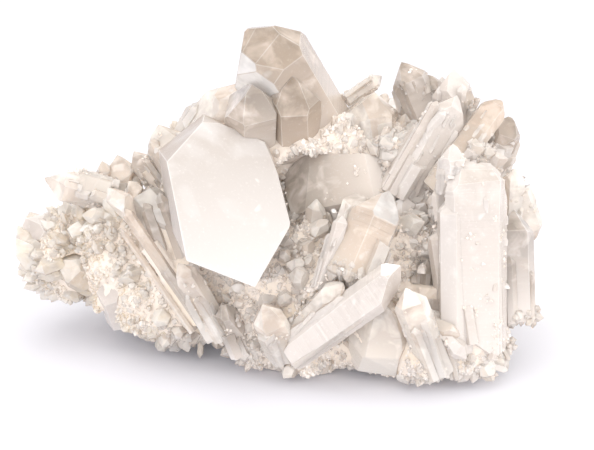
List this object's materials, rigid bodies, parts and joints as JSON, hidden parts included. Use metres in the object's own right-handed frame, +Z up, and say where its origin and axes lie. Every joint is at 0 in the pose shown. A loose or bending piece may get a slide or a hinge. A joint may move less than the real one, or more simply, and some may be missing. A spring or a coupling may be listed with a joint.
{
  "type": "quartz crystal cluster",
  "caption": "Natural quartz cluster: a rough root mass with one broad milky point, upright smoky and clear points and slanting prisms standing out of it.",
  "frame": {"origin": "under the middle of the cluster's bounding box, on the plane of its ground resting facets", "axes": "+X to the right along the cluster, +Y to its back, +Z up; the broad milky point faces -Y"},
  "size_m": [0.1498, 0.106, 0.0934],
  "materials": {
    "root": "rough intergrown quartz, iron stained in its hollows",
    "milky": "milky quartz, naturally glossy faces",
    "clear": "translucent quartz, glossy faces with fine striations",
    "smoky": "smoky translucent quartz, glossy faces",
    "stained": "quartz with a thin satin coat of yellow iron oxide"
  },
  "bodies": {
    "root": {"back_centre_low": "milky", "back_crest_point": "clear", "back_far_left": "stained", "back_foot_point": "stained", "back_left_foot": "stained", "back_left_high": "clear", "back_left_low": "clear", "back_left_striated": "clear", "back_right_low": "clear", "back_right_point": "milky", "back_side_blade": "clear", "back_slim_point": "clear", "back_tall_point": "clear", "beige_slab": "smoky", "block_left_point": "milky", "block_right_point": "milky", "centre_low_point": "clear", "crown_smoky_point": "smoky", "dark_twin_point": "smoky", "far_right_blade": "clear", "far_right_drop": "clear", "front_blade": "clear", "front_diagonal_prism": "milky", "front_needle": "milky", "front_sliver": "clear", "front_stub": "clear", "giant_milky_point": "milky", "left_brown_prism": "smoky", "left_diagonal_prism": "clear", "left_knob": "milky", "left_low_point": "stained", "left_skyline_point": "clear", "left_skyline_small": "clear", "left_square_point": "clear", "left_stub": "clear", "left_window_point": "stained", "lower_diagonal_prism": "clear", "pale_twin_point": "clear", "pocket_blade": "clear", "pocket_rim_point": "milky", "ridge_blade": "milky", "right_flank_point": "milky", "right_milky_block": "milky", "root_mass": "root", "sharp_brown_point": "smoky", "sharp_second_point": "smoky", "shoulder_point": "clear", "shoulder_small": "clear", "skyline_sliver": "clear", "slim_prism": "clear", "slot_prism": "smoky", "tongue_point": "milky", "under_giant_point": "smoky", "under_giant_prism": "clear", "upright_beige_point": "clear", "white_faced_prism": "clear", "white_top_point": "milky", "white_top_small": "clear", "window_prism": "smoky"}
  },
  "joints": []
}
